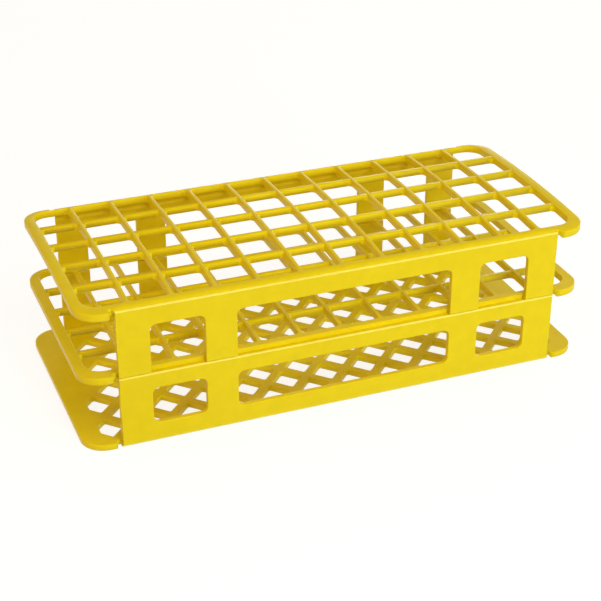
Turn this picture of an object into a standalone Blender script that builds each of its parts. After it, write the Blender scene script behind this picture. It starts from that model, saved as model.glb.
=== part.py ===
"""Three-tier test tube rack, 12 x 5 places, moulded flat in polypropylene and folded up.

Top section: top plate with a comb panel hung from its front and its back edge.
Base section: mid plate - front panel - bottom plate - back panel in one folding chain.
Metres, +Z up, front towards -Y, long side along X, underside of the bottom plate on Z = 0.
"""

import math

import bmesh
import bpy
from mathutils import Vector
from mathutils.geometry import delaunay_2d_cdt

MM = 0.001

# overall
LENGTH = 246.0
DEPTH = 110.5
HEIGHT = 68.3           # at the folds of the top plate
TOP_BOW, MID_BOW = 2.2, 0.9     # rise of the plates' upper faces halfway between their long edges
MID_TOP = 37.2          # upper face of the mid plate
STEP = 2.1              # depth of the rebate in the mid plate's front edge that takes the legs
CORNER = 11.3           # plate corners, in plan

# tube grid
COLUMNS, ROWS = 12, 5
PITCH_X, PITCH_Y = 19.85, 20.8
GRID_BACK = 2.2         # the grid sits this far back of the plate's centre line
HOLE_X, HOLE_Y = 17.9, 18.7
HOLE_R = 2.0            # inner corners of a cell
END_HOLE_R = 7.5        # the one outer corner of a corner cell

# walls
PLATE_T = 3.5           # top and mid plates
BASE_T = 3.0            # bottom plate
PANEL_T = 2.6

# side panels
PANEL_HALF = 106.4      # half length of every panel
NOTCH_W = 2.0
NOTCH_FRONT, NOTCH_BACK = 3.0, 1.3
HINGE_R = 0.5           # bead of the moulded-in hinge
GAP = 0.3               # clearance between neighbouring pieces
MITRE = 0.2             # half gap of the 45 degree folds

# panel windows
MID_WIN = 52.0          # half length of the long window
END_WIN_IN, END_WIN_OUT = 66.7, 91.6
WIN_R = 3.0
UPPER_WIN_TOP = 59.0    # height of the window tops of the top section
LOWER_WIN_TOP = 27.3
LOWER_WIN_FOOT = 9.4

# diagonal lattice of the bottom plate
RIB = 3.9               # width of a lattice rib
LATTICE_X, LATTICE_Y = 113.5, 49.0   # half extent of the open field


def arc(cx, cy, r, start, steps):
    """A quarter turn of points round (cx, cy), counter-clockwise from the angle start."""
    return [
        (
            cx + r * math.cos(math.radians(start + 90.0 * i / steps)),
            cy + r * math.sin(math.radians(start + 90.0 * i / steps)),
        )
        for i in range(steps + 1)
    ]


def round_rect(x0, x1, y0, y1, radii, steps=3):
    """Rounded rectangle; radii are for the corners (x1,y1), (x0,y1), (x0,y0), (x1,y0)."""
    corners = ((x1, y1, -1, -1, 0), (x0, y1, 1, -1, 90), (x0, y0, 1, 1, 180), (x1, y0, -1, 1, 270))
    loop = []
    for (x, y, sx, sy, start), r in zip(corners, radii):
        if r <= 0:
            loop.append((x, y))
        else:
            loop += arc(x + sx * r, y + sy * r, r, start, steps if r < 5 else steps + 2)
    return loop


def plate_outline():
    """Rounded plate with a relief notch beside each end of a panel, in both long edges."""
    hl, hd = LENGTH / 2, DEPTH / 2
    a, b = PANEL_HALF + GAP, PANEL_HALF + GAP + NOTCH_W

    def notched(d):
        return [(b, hd), (b, d), (a, d), (a, hd), (-a, hd), (-a, d), (-b, d), (-b, hd)]

    back = notched(hd - NOTCH_BACK)
    front = [(-x, -y) for x, y in notched(hd - NOTCH_FRONT)]
    return (
        arc(hl - CORNER, hd - CORNER, CORNER, 0, 7)
        + back
        + arc(-hl + CORNER, hd - CORNER, CORNER, 90, 7)
        + arc(-hl + CORNER, -hd + CORNER, CORNER, 180, 7)
        + front
        + arc(hl - CORNER, -hd + CORNER, CORNER, 270, 7)
    )


def cell_loops():
    """The 60 square holes."""
    loops = []
    for i in range(COLUMNS):
        for j in range(ROWS):
            cx = (i - (COLUMNS - 1) / 2) * PITCH_X
            cy = (j - (ROWS - 1) / 2) * PITCH_Y + GRID_BACK
            radii = [HOLE_R] * 4
            left, right = i == 0, i == COLUMNS - 1
            low, high = j == 0, j == ROWS - 1
            for k, corner in enumerate(((right, high), (left, high), (left, low), (right, low))):
                if all(corner):
                    radii[k] = END_HOLE_R
            loops.append(
                round_rect(cx - HOLE_X / 2, cx + HOLE_X / 2, cy - HOLE_Y / 2, cy + HOLE_Y / 2, radii, 2)
            )
    return loops


def clip_axis(loop, axis, limit, keep_below):
    """Cuts a convex polygon at one straight line parallel to an axis."""
    out = []
    for k, p in enumerate(loop):
        q = loop[(k + 1) % len(loop)]
        fp = (limit - p[axis]) if keep_below else (p[axis] - limit)
        fq = (limit - q[axis]) if keep_below else (q[axis] - limit)
        if fp >= 0:
            out.append(p)
        if (fp > 0 > fq) or (fp < 0 < fq):
            t = fp / (fp - fq)
            out.append((p[0] + t * (q[0] - p[0]), p[1] + t * (q[1] - p[1])))
    return out


def area(loop):
    return 0.5 * sum(
        loop[k][0] * loop[(k + 1) % len(loop)][1] - loop[(k + 1) % len(loop)][0] * loop[k][1]
        for k in range(len(loop))
    )


def lattice_loops():
    """Diamond openings between crossing diagonal ribs, one on each cell and one on each cell corner."""
    shrink = 1 - RIB * math.hypot(1 / PITCH_X, 1 / PITCH_Y)
    ax, ay = PITCH_X / 2 * shrink, PITCH_Y / 2 * shrink
    loops = []
    for i in range(-2 * COLUMNS, 2 * COLUMNS + 1):
        for j in range(-2 * ROWS, 2 * ROWS + 1):
            if (i + j) % 2:
                continue
            cx, cy = (i + 1) * PITCH_X / 2, j * PITCH_Y / 2
            if abs(cx) > LATTICE_X or abs(cy) > LATTICE_Y + 1:
                continue
            loop = [(cx + ax, cy), (cx, cy + ay), (cx - ax, cy), (cx, cy - ay)]
            loop = clip_axis(loop, 0, LATTICE_X, True)
            loop = clip_axis(loop, 0, -LATTICE_X, False)
            loop = clip_axis(loop, 1, LATTICE_Y, True)
            loop = clip_axis(loop, 1, -LATTICE_Y, False)
            if len(loop) >= 3 and abs(area(loop)) > 8.0:
                loops.append(loop)
    return loops


def inside(loops, x, y):
    """Even-odd test: inside the outline and outside every hole."""
    odd = False
    for loop in loops:
        for k, (x0, y0) in enumerate(loop):
            x1, y1 = loop[(k + 1) % len(loop)]
            if (y0 > y) != (y1 > y) and x < (x1 - x0) * (y - y0) / (y1 - y0) + x0:
                odd = not odd
    return odd


def slab(name, loops, low, high, upright=False):
    """A plate from low to high. Flat: loops are (x, y) and low..high is Z. Upright: (x, z) and Y."""
    points, edges = [], []
    for loop in loops:
        first = len(points)
        points += [Vector(p) for p in loop]
        edges += [(first + k, first + (k + 1) % len(loop)) for k in range(len(loop))]
    points, _, faces, _, _, _ = delaunay_2d_cdt(points, edges, [], 0, 1e-5)
    faces = [
        f for f in faces
        if inside(loops, sum(points[k].x for k in f) / 3, sum(points[k].y for k in f) / 3)
    ]
    place = (lambda p, t: (p.x * MM, t * MM, p.y * MM)) if upright else (lambda p, t: (p.x * MM, p.y * MM, t * MM))
    bm = bmesh.new()
    low_ring = [bm.verts.new(place(p, low)) for p in points]
    high_ring = [bm.verts.new(place(p, high)) for p in points]
    border = {}
    for f in faces:
        bm.faces.new([low_ring[k] for k in f])
        bm.faces.new([high_ring[k] for k in f])
        for k in range(3):
            edge = frozenset((f[k], f[(k + 1) % 3]))
            border[edge] = border.get(edge, 0) + 1
    for edge, count in border.items():
        if count == 1:
            i, j = edge
            bm.faces.new((low_ring[i], low_ring[j], high_ring[j], high_ring[i]))
    loose = [v for v in bm.verts if not v.link_faces]
    bmesh.ops.delete(bm, geom=loose, context="VERTS")
    mesh = bpy.data.meshes.new(name)
    bm.to_mesh(mesh)
    bm.free()
    return solid(name, mesh)


def solid(name, mesh):
    """Welds, turns every face outwards and puts the mesh in the scene."""
    bm = bmesh.new()
    bm.from_mesh(mesh)
    bmesh.ops.remove_doubles(bm, verts=bm.verts, dist=1e-6)
    bmesh.ops.recalc_face_normals(bm, faces=bm.faces)
    bm.to_mesh(mesh)
    bm.free()
    mesh.name = name
    obj = bpy.data.objects.new(name, mesh)
    bpy.context.scene.collection.objects.link(obj)
    return obj


def bow(obj, rise):
    """Arches a plate: nothing at its long edges, the full rise on the centre line."""
    for v in obj.data.vertices:
        v.co.z += rise * MM * (1 - (v.co.y / (DEPTH / 2 * MM)) ** 2)


def rod(name, profile, half):
    """A profile of (y, z) points swept along X from -half to half."""
    bm = bmesh.new()
    ends = [[bm.verts.new((x * MM, y * MM, z * MM)) for y, z in profile] for x in (-half, half)]
    bm.faces.new(ends[0])
    bm.faces.new(ends[1])
    for k in range(len(profile)):
        n = (k + 1) % len(profile)
        bm.faces.new((ends[0][k], ends[0][n], ends[1][n], ends[1][k]))
    mesh = bpy.data.meshes.new(name)
    bm.to_mesh(mesh)
    bm.free()
    return solid(name, mesh)


def cut(obj, cutter):
    modifier = obj.modifiers.new(cutter.name, "BOOLEAN")
    modifier.operation = "DIFFERENCE"
    modifier.solver = "EXACT"
    modifier.object = cutter
    cutter.hide_render = True
    cutter.display_type = "WIRE"


class Fold:
    """A 90 degree folded edge along X. (y, z) is the outer corner; iy and iz point into the material."""

    def __init__(self, name, y, z, iy, iz, flange=None):
        self.name, self.y, self.z, self.iy, self.iz = name, y, z, iy, iz
        self.flange = flange  # thickness of the plate at the fold, where it is less than the panel's

    def at(self, u, w):
        """u runs inwards along Y from the outer corner, w inwards along Z."""
        return (self.y + self.iy * u, self.z + self.iz * w)

    def bead(self):
        pts = [
            self.at(
                HINGE_R + HINGE_R * math.cos(math.tau * k / 16),
                HINGE_R + HINGE_R * math.sin(math.tau * k / 16),
            )
            for k in range(16)
        ]
        return rod("hinge_" + self.name, pts, PANEL_HALF - GAP)

    def relief(self, side):
        """Half circle of clearance round the bead: side 1 lies in the panel, -1 in the plate."""
        r = HINGE_R + GAP
        lean = math.degrees(math.asin(MITRE / math.sqrt(2) / r))
        turns = [45 + side * (lean + (180 - 2 * lean) * k / 8) for k in range(9)]
        return [
            (HINGE_R + r * math.cos(math.radians(t)), HINGE_R + r * math.sin(math.radians(t)))
            for t in turns
        ]

    def fit_plate(self, plate):
        """The plate loses the panel's room, half the fold and the clearance round the bead."""
        far, deep = PANEL_T + GAP, PLATE_T + BASE_T
        pts = [(-2, -2), (-2, deep), (far, deep), (far, PANEL_T), (PANEL_T + MITRE, PANEL_T)]
        pts += self.relief(-1) + [(MITRE - 2, -2)]
        cut(plate, rod("fold_plate_" + self.name, [self.at(u, w) for u, w in pts], PANEL_HALF + GAP))

    def fit_panel(self, panel):
        """The panel loses the other half."""
        if self.flange:
            foot = self.flange + GAP
            pts = [(-2, -2), (8, -2), (8, foot), (foot - MITRE, foot)]
        else:
            pts = [(-2, -2), (8, -2), (8, 8 + MITRE)]
        pts += self.relief(1) + [(-2, MITRE - 2)]
        cut(panel, rod("fold_panel_" + self.name, [self.at(u, w) for u, w in pts], PANEL_HALF + 2))


def rebate(name, y, iy, low, high):
    """Room for the legs along one long edge of the mid plate."""
    inner = PANEL_T + GAP
    pts = [(y - iy, low), (y + iy * inner, low), (y + iy * inner, high), (y - iy, high)]
    return rod(name, pts, PANEL_HALF + GAP)


def windows(low, high, radii):
    """The long window and the two short ones beside it."""
    spans = ((-MID_WIN, MID_WIN), (END_WIN_IN, END_WIN_OUT), (-END_WIN_OUT, -END_WIN_IN))
    return [round_rect(a, b, low, high, radii) for a, b in spans]


def comb(low, high, edge, legs_up):
    """Outline of a panel whose windows run out through one long edge, leaving four legs."""
    xs = [-PANEL_HALF, -END_WIN_OUT, -END_WIN_IN, -MID_WIN, MID_WIN, END_WIN_IN, END_WIN_OUT, PANEL_HALF]
    tip, root = (high, low) if legs_up else (low, high)
    sign = 1 if legs_up else -1
    loop = [(xs[0], root), (xs[0], tip)]
    for a, b in ((1, 2), (3, 4), (5, 6)):
        x0, x1 = xs[a], xs[b]
        loop.append((x0, tip))
        for k in range(4):
            t = math.radians(90 * k / 3)
            loop.append((x0 + WIN_R - WIN_R * math.cos(t), edge + sign * (WIN_R - WIN_R * math.sin(t))))
        for k in range(4):
            t = math.radians(90 * k / 3)
            loop.append((x1 - WIN_R + WIN_R * math.sin(t), edge + sign * (WIN_R - WIN_R * math.cos(t))))
        loop.append((x1, tip))
    loop += [(xs[7], tip), (xs[7], root)]
    return loop


def frame_panel(low, high, win_low, win_high):
    outline = [(-PANEL_HALF, low), (PANEL_HALF, low), (PANEL_HALF, high), (-PANEL_HALF, high)]
    return [outline] + windows(win_low, win_high, [WIN_R] * 4)


def build():
    for obj in list(bpy.data.objects):
        bpy.data.objects.remove(obj)

    front, back = -DEPTH / 2, DEPTH / 2
    top_front = Fold("top_front", front, HEIGHT, 1, -1)
    top_back = Fold("top_back", back, HEIGHT, -1, -1)
    ledge = MID_TOP - STEP
    mid_front = Fold("mid_front", front, ledge, 1, -1, PLATE_T - STEP)
    base_front = Fold("bottom_front", front, 0.0, 1, 1)
    base_back = Fold("bottom_back", back, 0.0, -1, 1)

    # top section
    top = slab("top_plate", [plate_outline()] + cell_loops(), HEIGHT - PLATE_T, HEIGHT)
    bow(top, TOP_BOW)
    top_front.fit_plate(top)
    top_back.fit_plate(top)
    legs = comb(ledge + GAP, HEIGHT, UPPER_WIN_TOP, False)
    short_legs = comb(MID_TOP + 0.1 + GAP, HEIGHT, UPPER_WIN_TOP, False)
    upper_front = slab("upper_front_panel", [legs], front, front + PANEL_T, True)
    top_front.fit_panel(upper_front)
    upper_back = slab("upper_back_panel", [short_legs], back - PANEL_T, back, True)
    top_back.fit_panel(upper_back)

    # base section
    mid = slab("mid_plate", [plate_outline()] + cell_loops(), MID_TOP - PLATE_T, MID_TOP)
    bow(mid, MID_BOW)
    cut(mid, rebate("rebate_front", front, 1, ledge, MID_TOP + 2))
    mid_front.fit_plate(mid)
    lower_front = slab(
        "lower_front_panel",
        frame_panel(0.0, ledge, LOWER_WIN_FOOT, LOWER_WIN_TOP),
        front,
        front + PANEL_T,
        True,
    )
    mid_front.fit_panel(lower_front)
    base_front.fit_panel(lower_front)
    bottom = slab("bottom_plate", [plate_outline()] + lattice_loops(), 0.0, BASE_T)
    base_front.fit_plate(bottom)
    base_back.fit_plate(bottom)
    posts = comb(0.0, MID_TOP - PLATE_T - GAP, LOWER_WIN_FOOT, True)
    lower_back = slab("lower_back_panel", [posts], back - PANEL_T, back, True)
    base_back.fit_panel(lower_back)

    for fold in (top_front, top_back, mid_front, base_front, base_back):
        fold.bead()


build()
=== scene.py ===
"""Looks for the folding test tube rack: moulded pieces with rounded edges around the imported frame."""

import math

import bmesh
import bpy
from mathutils import Matrix, Vector
from mathutils.geometry import delaunay_2d_cdt


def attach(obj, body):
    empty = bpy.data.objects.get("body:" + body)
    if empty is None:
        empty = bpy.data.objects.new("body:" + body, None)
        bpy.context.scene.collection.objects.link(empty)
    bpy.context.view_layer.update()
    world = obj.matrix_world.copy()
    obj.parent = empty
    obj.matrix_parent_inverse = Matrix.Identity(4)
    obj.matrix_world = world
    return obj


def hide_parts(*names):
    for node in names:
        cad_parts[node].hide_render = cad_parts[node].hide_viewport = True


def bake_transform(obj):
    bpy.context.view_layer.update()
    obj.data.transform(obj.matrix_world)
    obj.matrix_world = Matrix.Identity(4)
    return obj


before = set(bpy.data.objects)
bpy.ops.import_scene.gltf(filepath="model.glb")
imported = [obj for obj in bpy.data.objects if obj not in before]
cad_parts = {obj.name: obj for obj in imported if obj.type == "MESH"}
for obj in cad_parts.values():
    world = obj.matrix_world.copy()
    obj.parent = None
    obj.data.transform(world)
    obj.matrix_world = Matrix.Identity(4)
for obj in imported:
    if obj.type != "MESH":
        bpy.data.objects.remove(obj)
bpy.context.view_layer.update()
MM = 0.001

# ---------------------------------------------------------------- sizes, as in the CAD
LENGTH, DEPTH, HEIGHT = 246.0, 110.5, 68.3
TOP_BOW, MID_BOW = 2.18, 0.0
MID_TOP, STEP, CORNER = 37.2, 2.1, 11.3
COLUMNS, ROWS = 12, 5
PITCH_X, PITCH_Y, GRID_BACK = 19.85, 20.8, 2.2
HOLE_X, HOLE_Y, HOLE_R, END_HOLE_R = 17.9, 18.7, 2.0, 7.5
PLATE_T, BASE_T, PANEL_T = 3.5, 3.0, 2.6
BACK_T, ROOT_T = 2.0, 1.2       # back panel, and its thinner root beside the plate's rim
PANEL_HALF, NOTCH_W, NOTCH_FRONT, NOTCH_BACK = 106.4, 2.0, 3.0, 1.3
GAP = 0.3
MID_WIN, END_WIN_IN, END_WIN_OUT, WIN_R = 52.0, 66.7, 91.6, 3.0
UPPER_WIN_TOP, LOWER_WIN_TOP, LOWER_WIN_FOOT = 59.0, 27.3, 9.4
RIB, LATTICE_X, LATTICE_Y = 3.9, 113.5, 49.0
EDGE = 0.36             # rounding of the moulded edges
WEB_T, RIB_DROP = 2.7, 0.12     # web round the cells, and how far the cross ribs lie below the long ones
FRONT, BACK = -DEPTH / 2, DEPTH / 2
LEDGE = MID_TOP - STEP


# ---------------------------------------------------------------- outlines
def arc(cx, cy, r, start, steps):
    return [
        (
            cx + r * math.cos(math.radians(start + 90.0 * i / steps)),
            cy + r * math.sin(math.radians(start + 90.0 * i / steps)),
        )
        for i in range(steps + 1)
    ]


def round_rect(x0, x1, y0, y1, radii, steps=6):
    corners = ((x1, y1, -1, -1, 0), (x0, y1, 1, -1, 90), (x0, y0, 1, 1, 180), (x1, y0, -1, 1, 270))
    loop = []
    for (x, y, sx, sy, start), r in zip(corners, radii):
        loop += arc(x + sx * r, y + sy * r, r, start, steps if r < 5 else steps + 4)
    return loop


def plate_outline():
    hl, hd = LENGTH / 2, DEPTH / 2
    a, b = PANEL_HALF + GAP, PANEL_HALF + GAP + NOTCH_W

    def notched(d):
        return [(b, hd), (b, d), (a, d), (a, hd), (-a, hd), (-a, d), (-b, d), (-b, hd)]

    back = notched(hd - NOTCH_BACK)
    front = [(-x, -y) for x, y in notched(hd - NOTCH_FRONT)]
    return (
        arc(hl - CORNER, hd - CORNER, CORNER, 0, 16)
        + back
        + arc(-hl + CORNER, hd - CORNER, CORNER, 90, 16)
        + arc(-hl + CORNER, -hd + CORNER, CORNER, 180, 16)
        + front
        + arc(hl - CORNER, -hd + CORNER, CORNER, 270, 16)
    )


def cell_loops():
    loops = []
    for i in range(COLUMNS):
        for j in range(ROWS):
            cx = (i - (COLUMNS - 1) / 2) * PITCH_X
            cy = (j - (ROWS - 1) / 2) * PITCH_Y + GRID_BACK
            radii = [HOLE_R] * 4
            left, right = i == 0, i == COLUMNS - 1
            low, high = j == 0, j == ROWS - 1
            for k, corner in enumerate(((right, high), (left, high), (left, low), (right, low))):
                if all(corner):
                    radii[k] = END_HOLE_R
            loops.append(round_rect(cx - HOLE_X / 2, cx + HOLE_X / 2, cy - HOLE_Y / 2, cy + HOLE_Y / 2, radii))
    return loops


def column_loops():
    """The open columns between the ribs that run from front to back."""
    loops = []
    low, high = -(ROWS - 1) / 2 * PITCH_Y + GRID_BACK - HOLE_Y / 2, (ROWS - 1) / 2 * PITCH_Y + GRID_BACK + HOLE_Y / 2
    for i in range(COLUMNS):
        cx = (i - (COLUMNS - 1) / 2) * PITCH_X
        radii = [1.5] * 4
        if i == 0:
            radii[1] = radii[2] = END_HOLE_R
        if i == COLUMNS - 1:
            radii[0] = radii[3] = END_HOLE_R
        half = HOLE_X / 2 + 0.02
        loops.append(round_rect(cx - half, cx + half, low - 0.02, high + 0.02, radii))
    return loops


def divide(loop, step):
    """Extra points on the long straight runs, so that a bowed plate can follow its curve."""
    out = []
    for k, (x0, y0) in enumerate(loop):
        x1, y1 = loop[(k + 1) % len(loop)]
        n = max(1, round(abs(y1 - y0) / step))
        out += [(x0 + (x1 - x0) * i / n, y0 + (y1 - y0) * i / n) for i in range(n)]
    return out


def area(loop):
    return 0.5 * sum(
        loop[k][0] * loop[(k + 1) % len(loop)][1] - loop[(k + 1) % len(loop)][0] * loop[k][1]
        for k in range(len(loop))
    )


def clip_axis(loop, axis, limit, keep_below):
    out = []
    for k, p in enumerate(loop):
        q = loop[(k + 1) % len(loop)]
        fp = (limit - p[axis]) if keep_below else (p[axis] - limit)
        fq = (limit - q[axis]) if keep_below else (q[axis] - limit)
        if fp >= 0:
            out.append(p)
        if (fp > 0 > fq) or (fp < 0 < fq):
            t = fp / (fp - fq)
            out.append((p[0] + t * (q[0] - p[0]), p[1] + t * (q[1] - p[1])))
    return out


def soften(loop, r, steps=3):
    """Small rounds on the corners of a polygon."""
    out = []
    n = len(loop)
    for k in range(n):
        p, a, b = Vector(loop[k]), Vector(loop[k - 1]), Vector(loop[(k + 1) % n])
        da, db = (a - p), (b - p)
        reach = min(r, da.length * 0.4, db.length * 0.4)
        s, e = p + da.normalized() * reach, p + db.normalized() * reach
        for i in range(steps + 1):
            t = i / steps
            q = s * (1 - t) ** 2 + p * 2 * t * (1 - t) + e * t * t
            out.append((q.x, q.y))
    return out


def lattice_loops():
    shrink = 1 - RIB * math.hypot(1 / PITCH_X, 1 / PITCH_Y)
    ax, ay = PITCH_X / 2 * shrink, PITCH_Y / 2 * shrink
    loops = []
    for i in range(-2 * COLUMNS, 2 * COLUMNS + 1):
        for j in range(-2 * ROWS, 2 * ROWS + 1):
            if (i + j) % 2:
                continue
            cx, cy = (i + 1) * PITCH_X / 2, j * PITCH_Y / 2
            if abs(cx) > LATTICE_X or abs(cy) > LATTICE_Y + 1:
                continue
            if abs(cx) > LATTICE_X - RIB - 1 and cy > -1:    # the ends are solid towards the back
                continue
            loop = [(cx + ax, cy), (cx, cy + ay), (cx - ax, cy), (cx, cy - ay)]
            loop = clip_axis(loop, 0, LATTICE_X, True)
            loop = clip_axis(loop, 0, -LATTICE_X, False)
            loop = clip_axis(loop, 1, LATTICE_Y, True)
            loop = clip_axis(loop, 1, -LATTICE_Y, False)
            if len(loop) >= 3 and abs(area(loop)) > 8.0:
                loops.append(soften(loop, 0.9))
    return loops


def windows(low, high):
    spans = ((-MID_WIN, MID_WIN), (END_WIN_IN, END_WIN_OUT), (-END_WIN_OUT, -END_WIN_IN))
    return [round_rect(a, b, low, high, [WIN_R] * 4, 8) for a, b in spans]


def comb(low, high, edge, legs_up):
    xs = [-PANEL_HALF, -END_WIN_OUT, -END_WIN_IN, -MID_WIN, MID_WIN, END_WIN_IN, END_WIN_OUT, PANEL_HALF]
    tip, root = (high, low) if legs_up else (low, high)
    sign = 1 if legs_up else -1
    loop = [(xs[0], root), (xs[0], tip)]
    for a, b in ((1, 2), (3, 4), (5, 6)):
        x0, x1 = xs[a], xs[b]
        loop.append((x0, tip))
        for k in range(8):
            t = math.radians(90 * k / 7)
            loop.append((x0 + WIN_R - WIN_R * math.cos(t), edge + sign * (WIN_R - WIN_R * math.sin(t))))
        for k in range(8):
            t = math.radians(90 * k / 7)
            loop.append((x1 - WIN_R + WIN_R * math.sin(t), edge + sign * (WIN_R - WIN_R * math.cos(t))))
        loop.append((x1, tip))
    loop += [(xs[7], tip), (xs[7], root)]
    return loop


# ---------------------------------------------------------------- solids
def inside(loops, x, y):
    odd = False
    for loop in loops:
        for k, (x0, y0) in enumerate(loop):
            x1, y1 = loop[(k + 1) % len(loop)]
            if (y0 > y) != (y1 > y) and x < (x1 - x0) * (y - y0) / (y1 - y0) + x0:
                odd = not odd
    return odd


def offset(loop, d):
    """Moves a counter-clockwise loop to its left by d, mitred at the corners."""
    out = []
    n = len(loop)
    for k in range(n):
        p, a, b = Vector(loop[k]), Vector(loop[k - 1]), Vector(loop[(k + 1) % n])
        e1, e2 = (p - a).normalized(), (b - p).normalized()
        n1, n2 = Vector((-e1.y, e1.x)), Vector((-e2.y, e2.x))
        q = p + (n1 + n2) * (d / max(0.3, 1 + n1.dot(n2)))
        out.append((q.x, q.y))
    return out


def new_object(name, bm):
    bmesh.ops.recalc_face_normals(bm, faces=bm.faces)
    mesh = bpy.data.meshes.new(name)
    bm.to_mesh(mesh)
    bm.free()
    obj = bpy.data.objects.new(name, mesh)
    bpy.context.scene.collection.objects.link(obj)
    return obj


def moulded(name, loops, low, high, edge=EDGE, upright=False, rise=0.0, steps=3):
    """A plate or panel whose edges are all rounded. The first loop is the outline, the rest are holes."""
    loops = [loop if area(loop) > 0 else loop[::-1] for loop in loops]
    sides = [1] + [-1] * (len(loops) - 1)

    def place(p, t):
        if upright:
            return (p[0] * MM, t * MM, p[1] * MM)
        lift = rise * (1 - (p[1] / (DEPTH / 2)) ** 2)
        return (p[0] * MM, p[1] * MM, (t + lift) * MM)

    bm = bmesh.new()
    rings = []  # per profile step: one list of verts per loop
    profile = []
    for k in range(steps + 1):
        t = math.radians(90 * k / steps)
        profile.append((edge * (1 - math.sin(t)), low + edge * (1 - math.cos(t))))
    for k in range(steps + 1):
        t = math.radians(90 - 90 * k / steps)
        profile.append((edge * (1 - math.sin(t)), high - edge * (1 - math.cos(t))))
    for inset, level in profile:
        ring = []
        for loop, s in zip(loops, sides):
            ring.append([bm.verts.new(place(p, level)) for p in offset(loop, s * inset)])
        rings.append(ring)
    for a, b in zip(rings, rings[1:]):
        for la, lb in zip(a, b):
            for k in range(len(la)):
                n = (k + 1) % len(la)
                bm.faces.new((la[k], la[n], lb[n], lb[k])).smooth = True
    cap_loops = [offset(loop, s * edge) for loop, s in zip(loops, sides)]
    points, edges, owner = [], [], []
    for i, loop in enumerate(cap_loops):
        first = len(points)
        points += [Vector(p) for p in loop]
        owner += [(i, k) for k in range(len(loop))]
        edges += [(first + k, first + (k + 1) % len(loop)) for k in range(len(loop))]
    verts, _, faces, orig, _, _ = delaunay_2d_cdt(points, edges, [], 0, 1e-6)
    for f in faces:
        if not inside(cap_loops, sum(verts[k].x for k in f) / 3, sum(verts[k].y for k in f) / 3):
            continue
        for ring in (rings[0], rings[-1]):
            corner = [ring[owner[orig[k][0]][0]][owner[orig[k][0]][1]] for k in f]
            bm.faces.new(corner).smooth = bool(rise)
    return new_object(name, bm)


def rod(name, profile, half, smooth=False, xs=None):
    """A profile of (y, z) points swept along X."""
    xs = xs or (-half, half)
    bm = bmesh.new()
    rings = [[bm.verts.new((x * MM, y * MM, z * MM)) for y, z in profile] for x in xs]
    bm.faces.new(rings[0])
    bm.faces.new(rings[-1])
    for a, b in zip(rings, rings[1:]):
        for k in range(len(profile)):
            n = (k + 1) % len(profile)
            bm.faces.new((a[k], a[n], b[n], b[k])).smooth = smooth
    return new_object(name, bm)


def cut(obj, *cutters):
    for cutter in cutters:
        modifier = obj.modifiers.new("cut", "BOOLEAN")
        modifier.operation = "DIFFERENCE"
        modifier.solver = "EXACT"
        modifier.object = cutter
    bpy.context.view_layer.update()
    graph = bpy.context.evaluated_depsgraph_get()
    mesh = bpy.data.meshes.new_from_object(obj.evaluated_get(graph), depsgraph=graph)
    mesh.materials.clear()
    old = obj.data
    obj.modifiers.clear()
    obj.data = mesh
    bpy.data.meshes.remove(old)
    for cutter in cutters:
        data = cutter.data
        bpy.data.objects.remove(cutter)
        bpy.data.meshes.remove(data)


class Fold:
    """A folded edge along X: (y, z) is the outer corner, u runs inwards along Y and w inwards along Z."""

    def __init__(self, y, z, iy, iz, radius, flange=None, root=PANEL_T):
        self.y, self.z, self.iy, self.iz, self.r, self.flange, self.root = y, z, iy, iz, radius, flange, root

    def at(self, u, w):
        return (self.y + self.iy * u, self.z + self.iz * w)

    def plate_cutter(self):
        slack, far, deep, r = 0.04, self.root + 0.1, PLATE_T + BASE_T, self.r
        pts = [(-2, -2), (-2, deep), (far, deep), (far, far - slack), (r, r - slack), (r, -2)]
        return rod("cutter", [self.at(u, w) for u, w in pts], PANEL_HALF + GAP)

    def panel_cutter(self):
        slack, r = 0.04, self.r
        if self.flange:
            foot = self.flange + 0.12
            pts = [(-2, -2), (8, -2), (8, foot), (max(foot - slack, r), foot), (r, r + slack), (-2, r + slack)]
            if foot <= r + slack:
                pts = [(-2, -2), (8, -2), (8, foot), (-2, foot)]
        else:
            pts = [(-2, -2), (8, -2), (8, 8 + slack), (r, r + slack), (-2, r + slack)]
        return rod("cutter", [self.at(u, w) for u, w in pts], PANEL_HALF + 2)

    def strip(self, name, thick):
        """The moulded-in hinge: a quarter ring from the plate's face round to the panel's."""
        r, n = self.r, 4
        outer = [(r - r * math.sin(math.radians(90 * k / n)), r - r * math.cos(math.radians(90 * k / n))) for k in range(n + 1)]
        q = r - thick
        inner = [(r - q * math.sin(math.radians(90 * k / n)), r - q * math.cos(math.radians(90 * k / n))) for k in range(n + 1)]
        return rod(name, [self.at(u, w) for u, w in outer + inner[::-1]], PANEL_HALF - 0.05)


def rebate(y, iy, low, high):
    inner = PANEL_T + GAP
    pts = [(y - iy, low), (y + iy * inner, low), (y + iy * inner, high), (y - iy, high)]
    return rod("cutter", pts, PANEL_HALF + GAP)


def join(name, objects):
    """One object from several overlapping shells."""
    bm = bmesh.new()
    for obj in objects:
        bm.from_mesh(obj.data)
    mesh = bpy.data.meshes.new(name)
    bm.to_mesh(mesh)
    bm.free()
    for obj in objects:
        data = obj.data
        bpy.data.objects.remove(obj)
        bpy.data.meshes.remove(data)
    obj = bpy.data.objects.new(name, mesh)
    bpy.context.scene.collection.objects.link(obj)
    return obj


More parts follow.
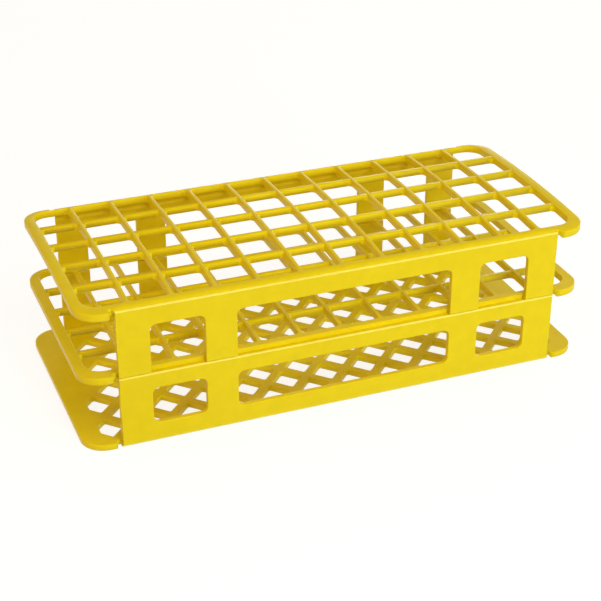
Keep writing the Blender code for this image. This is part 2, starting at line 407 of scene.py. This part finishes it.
def grid_plate(name, top, rise, cutters, web_cutters):
    """A tube plate: a frame with its long ribs, a thin web with rounded cells, and lower round-topped cross ribs."""
    low = top - PLATE_T
    body = moulded("body", [divide(loop, 5.2) for loop in [plate_outline()] + column_loops()], low, top, rise=rise)
    cut(body, *cutters)
    hl = LENGTH / 2 - 2.2
    y0, y1 = FRONT + 3.6, BACK - 1.0
    c = 7.0
    edge = [(-hl + c, y0), (hl - c, y0), (hl, y0 + c), (hl, y1 - c), (hl - c, y1), (-hl + c, y1), (-hl, y1 - c), (-hl, y0 + c)]
    web = moulded("web", [edge] + cell_loops(), low + 0.02, low + WEB_T, edge=0.25, rise=rise)
    if web_cutters:
        cut(web, *web_cutters)
    shells = [body, web]
    for j in range(ROWS - 1):
        y = (j - (ROWS - 2) / 2) * PITCH_Y + GRID_BACK
        lift = rise * (1 - (y / (DEPTH / 2)) ** 2)
        half, crest, r, q = (PITCH_Y - HOLE_Y) / 2 + 0.02, top + lift - RIB_DROP, 1.1, 0.3
        pts = [(y + half, low + lift + 0.3)]
        pts += [(y + half - q + q * math.cos(math.radians(a)), crest - q + q * math.sin(math.radians(a))) for a in range(0, 91, 30)]
        pts += [(y - half + r + r * math.cos(math.radians(a)), crest - r + r * math.sin(math.radians(a))) for a in range(90, 181, 15)]
        pts += [(y - half, low + lift + 0.3)]
        rib = rod("rib", pts, LENGTH / 2 - 3.0, True)
        for face in rib.data.polygons:
            if abs(face.normal.x) > 0.9 or face.normal.z < -0.5:
                face.use_smooth = False
        shells.append(rib)
    return join(name, shells)


# ---------------------------------------------------------------- the rack's plastic
def rack_plastic(name, dark, light, rough_low, rough_high, soft):
    mat = bpy.data.materials.new(name)
    mat.use_nodes = True
    nt = mat.node_tree
    nodes, links = nt.nodes, nt.links
    bsdf = nodes["Principled BSDF"]
    coord = nodes.new("ShaderNodeTexCoord")

    def noise(scale, detail, rough=0.5):
        n = nodes.new("ShaderNodeTexNoise")
        n.inputs["Scale"].default_value = scale
        n.inputs["Detail"].default_value = detail
        n.inputs["Roughness"].default_value = rough
        links.new(coord.outputs["Object"], n.inputs["Vector"])
        return n

    flow = noise(14.0, 3.0)        # slow change of tone along the moulding
    grain = noise(2600.0, 2.0)     # fine eroded texture of the tool
    patch = noise(160.0, 4.0)      # rubbed and matt patches

    tone = nodes.new("ShaderNodeValToRGB")
    tone.color_ramp.elements[0].position = 0.30
    tone.color_ramp.elements[0].color = (*dark, 1)
    tone.color_ramp.elements[1].position = 0.72
    tone.color_ramp.elements[1].color = (*light, 1)
    links.new(flow.outputs["Fac"], tone.inputs["Fac"])
    speck = nodes.new("ShaderNodeMapRange")
    speck.inputs["From Min"].default_value = 0.3
    speck.inputs["From Max"].default_value = 0.7
    speck.inputs["To Min"].default_value = 0.965
    speck.inputs["To Max"].default_value = 1.02
    links.new(patch.outputs["Fac"], speck.inputs["Value"])
    mix = nodes.new("ShaderNodeMix")
    mix.data_type = "RGBA"
    mix.blend_type = "MULTIPLY"
    mix.inputs["Factor"].default_value = 1.0
    links.new(tone.outputs["Color"], mix.inputs["A"])
    links.new(speck.outputs["Result"], mix.inputs["B"])
    links.new(mix.outputs["Result"], bsdf.inputs["Base Color"])

    rough = nodes.new("ShaderNodeMapRange")
    rough.inputs["To Min"].default_value = rough_low
    rough.inputs["To Max"].default_value = rough_high
    links.new(patch.outputs["Fac"], rough.inputs["Value"])
    links.new(rough.outputs["Result"], bsdf.inputs["Roughness"])

    bump = nodes.new("ShaderNodeBump")
    bump.inputs["Strength"].default_value = 0.10
    bump.inputs["Distance"].default_value = 0.0001
    links.new(grain.outputs["Fac"], bump.inputs["Height"])
    sink = nodes.new("ShaderNodeBump")
    sink.inputs["Strength"].default_value = 0.10
    sink.inputs["Distance"].default_value = 0.0008
    links.new(patch.outputs["Fac"], sink.inputs["Height"])
    links.new(bump.outputs["Normal"], sink.inputs["Normal"])
    links.new(sink.outputs["Normal"], bsdf.inputs["Normal"])
    bsdf.inputs["IOR"].default_value = 1.49
    bsdf.inputs["Specular IOR Level"].default_value = 0.24
    bsdf.inputs["Specular Tint"].default_value = (1.0, 0.92, 0.45, 1)
    bsdf.inputs["Subsurface Weight"].default_value = soft
    bsdf.inputs["Subsurface Radius"].default_value = (1.0, 1.0, 0.1)
    bsdf.inputs["Subsurface Scale"].default_value = 0.0012
    return mat


PLASTIC = rack_plastic("yellow_polypropylene", (0.835, 0.668, 0.0045), (0.885, 0.724, 0.0065), 0.34, 0.46, 0.06)
# the fold strips get a paler yellow: a painted highlight along each fold edge, standing in for the light the rounded
# fold catches
FOLD_HIGHLIGHT_PAINT = rack_plastic("fold_highlight_paint", (1.000, 0.860, 0.120), (1.000, 0.930, 0.180), 0.26, 0.36, 0.0)


def finish_piece(obj, body=None, *nodes, material=None):
    obj.data.materials.clear()
    obj.data.materials.append(material or PLASTIC)
    if nodes:
        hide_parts(*nodes)
    if body:
        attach(obj, body)


# ---------------------------------------------------------------- the rack
fold_top_front = Fold(FRONT, HEIGHT, 1, -1, 0.72)
fold_top_back = Fold(BACK, HEIGHT, -1, -1, 1.0, root=ROOT_T)
fold_mid = Fold(FRONT, LEDGE, 1, -1, 0.70, PLATE_T - STEP)
fold_base_front = Fold(FRONT, 0.0, 1, 1, 1.2)
fold_base_back = Fold(BACK, 0.0, -1, 1, 1.2)

top = grid_plate(
    "top_plate_moulding", HEIGHT, TOP_BOW,
    [fold_top_front.plate_cutter(), fold_top_back.plate_cutter()], [fold_top_back.plate_cutter()],
)
finish_piece(top, "top_tier", "top_plate")

upper_front = moulded("upper_front_moulding", [comb(LEDGE + GAP, HEIGHT, UPPER_WIN_TOP, False)], FRONT, FRONT + PANEL_T, upright=True)
cut(upper_front, fold_top_front.panel_cutter())
finish_piece(upper_front, "front_flap", "upper_front_panel")

upper_back = moulded("upper_back_moulding", [comb(MID_TOP + 0.1 + GAP, HEIGHT, UPPER_WIN_TOP, False)], BACK - BACK_T, BACK, upright=True)
groove = [(BACK - BACK_T - 1, HEIGHT - PLATE_T - 2.4), (BACK - BACK_T, HEIGHT - PLATE_T - 2.4), (BACK - ROOT_T, HEIGHT - PLATE_T - 1.6), (BACK - ROOT_T, HEIGHT + 1), (BACK - BACK_T - 1, HEIGHT + 1)]
cut(upper_back, fold_top_back.panel_cutter(), rod("cutter", groove, PANEL_HALF + 2))
finish_piece(upper_back, "back_flap", "upper_back_panel")

mid = grid_plate(
    "mid_plate_moulding", MID_TOP, MID_BOW, [rebate(FRONT, 1, LEDGE, MID_TOP + 2), fold_mid.plate_cutter()], [],
)
finish_piece(mid, "mid_tier", "mid_plate")

lower_outline = [(-PANEL_HALF, 0.0), (PANEL_HALF, 0.0), (PANEL_HALF, LEDGE), (-PANEL_HALF, LEDGE)]
lower_front = moulded("lower_front_moulding", [lower_outline] + windows(LOWER_WIN_FOOT, LOWER_WIN_TOP), FRONT, FRONT + PANEL_T, upright=True)
cut(lower_front, fold_mid.panel_cutter(), fold_base_front.panel_cutter())
finish_piece(lower_front, "front_wall", "lower_front_panel")

bottom = moulded("bottom_plate_moulding", [plate_outline()] + lattice_loops(), 0.0, BASE_T)
cut(bottom, fold_base_front.plate_cutter(), fold_base_back.plate_cutter())
finish_piece(bottom, "base", "bottom_plate")

lower_back = moulded("lower_back_moulding", [comb(0.0, MID_TOP - PLATE_T - GAP, LOWER_WIN_FOOT, True)], BACK - PANEL_T, BACK, upright=True)
cut(lower_back, fold_base_back.panel_cutter())
finish_piece(lower_back, "back_wall", "lower_back_panel")

for fold, name, plate_body, panel_body, node in (
    (fold_top_front, "top_front", "top_tier", "front_flap", "hinge_top_front"),
    (fold_top_back, "top_back", "top_tier", "back_flap", "hinge_top_back"),
    (fold_mid, "mid_front", "mid_tier", "front_wall", "hinge_mid_front"),
    (fold_base_front, "base_front", "base", "front_wall", "hinge_bottom_front"),
    (fold_base_back, "base_back", "base", "back_wall", "hinge_bottom_back"),
):
    strip = fold.strip("fold_" + name, min(0.8, fold.r - 0.15))
    # the strip takes the paler colour that paints the highlight along the fold
    finish_piece(strip, None, node, material=FOLD_HIGHLIGHT_PAINT)
    u0, w0 = fold.at(fold.r, 0.0)
    u1, w1 = fold.at(0.0, fold.r)
    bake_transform(strip)

# ---------------------------------------------------------------- floor, light, camera
def plain(name, color, rough, glow=0.0):
    mat = bpy.data.materials.new(name)
    mat.use_nodes = True
    bsdf = mat.node_tree.nodes["Principled BSDF"]
    bsdf.inputs["Base Color"].default_value = (*color, 1)
    bsdf.inputs["Roughness"].default_value = rough
    bsdf.inputs["Specular IOR Level"].default_value = 0.1
    bsdf.inputs["Emission Color"].default_value = (1, 1, 1, 1)
    bsdf.inputs["Emission Strength"].default_value = glow
    return mat


bpy.ops.mesh.primitive_plane_add(size=12, location=(0, 0, -0.0002))
floor = bpy.context.object
floor.name = "floor"
floor.data.materials.append(plain("pale_floor", (0.30, 0.315, 0.34), 0.8, 0.81))
floor.visible_diffuse = False    # the rack was cut out from its ground: no light comes up from it

bpy.ops.mesh.primitive_plane_add(size=1, location=(1.7, 2.6, 0.3), rotation=(math.radians(90), 0, 0))
backdrop = bpy.context.object
backdrop.name = "backdrop"
backdrop.scale = (2.4, 0.6, 1)
backdrop.data.materials.append(plain("white_backdrop", (0.5, 0.5, 0.5), 0.8, 4.5))

world = bpy.data.worlds.new("studio")
bpy.context.scene.world = world
world.use_nodes = True
world.node_tree.nodes["Background"].inputs["Color"].default_value = (1.0, 0.85, 0.62, 1)
world.node_tree.nodes["Background"].inputs["Strength"].default_value = 0.42


def softbox(name, place, aim, size, power, color=(1, 1, 1)):
    data = bpy.data.lights.new(name, "AREA")
    data.shape = "RECTANGLE"
    data.size, data.size_y = size
    data.energy = power
    data.color = color
    lamp = bpy.data.objects.new(name, data)
    lamp.location = place
    lamp.rotation_euler = (Vector(aim) - Vector(place)).to_track_quat("-Z", "Y").to_euler()
    bpy.context.scene.collection.objects.link(lamp)
    return lamp


softbox("key", (0.12, -1.0, 0.28), (0, 0, 0.05), (0.40, 0.16), 3.5, (0.94, 1.0, 0.88))
softbox("side", (1.0, -0.75, 0.30), (0, 0, 0.04), (0.4, 0.3), 1.8, (0.95, 1.0, 0.86))
softbox("high", (0.25, -0.75, 1.05), (0, 0, 0.03), (0.9, 0.6), 4.2, (1.0, 0.87, 0.70))
softbox("left_fill", (-1.2, -0.25, 0.45), (0, 0, 0.03), (0.6, 0.5), 3.4, (1.0, 0.62, 0.28))

scene = bpy.context.scene
scene.view_settings.view_transform = "Standard"
scene.view_settings.look = "None"

FOCAL_PX, AZ, EL, ROLL, DIST, TX, TZ = 1506.8, -21.466, 28.486, 0.138, 732.4, -0.843, 25.352
cam = bpy.data.cameras.new("camera")
cam.sensor_width = 36.0
cam.lens = FOCAL_PX * 36.0 / 601.0
cam.clip_start, cam.clip_end = 0.01, 50.0
camera = bpy.data.objects.new("camera", cam)
scene.collection.objects.link(camera)
a, e, r = math.radians(AZ), math.radians(EL), math.radians(ROLL)
back = Vector((math.sin(a) * math.cos(e), -math.cos(a) * math.cos(e), math.sin(e)))
right = Vector((math.cos(a), math.sin(a), 0.0))
up = back.cross(right)
right2 = right * math.cos(r) + up * math.sin(r)
up2 = up * math.cos(r) - right * math.sin(r)
m = Matrix((right2, up2, back)).transposed().to_4x4()
m.translation = Vector((TX * MM, 0, TZ * MM)) + back * (DIST * MM)
camera.matrix_world = m
scene.camera = camera
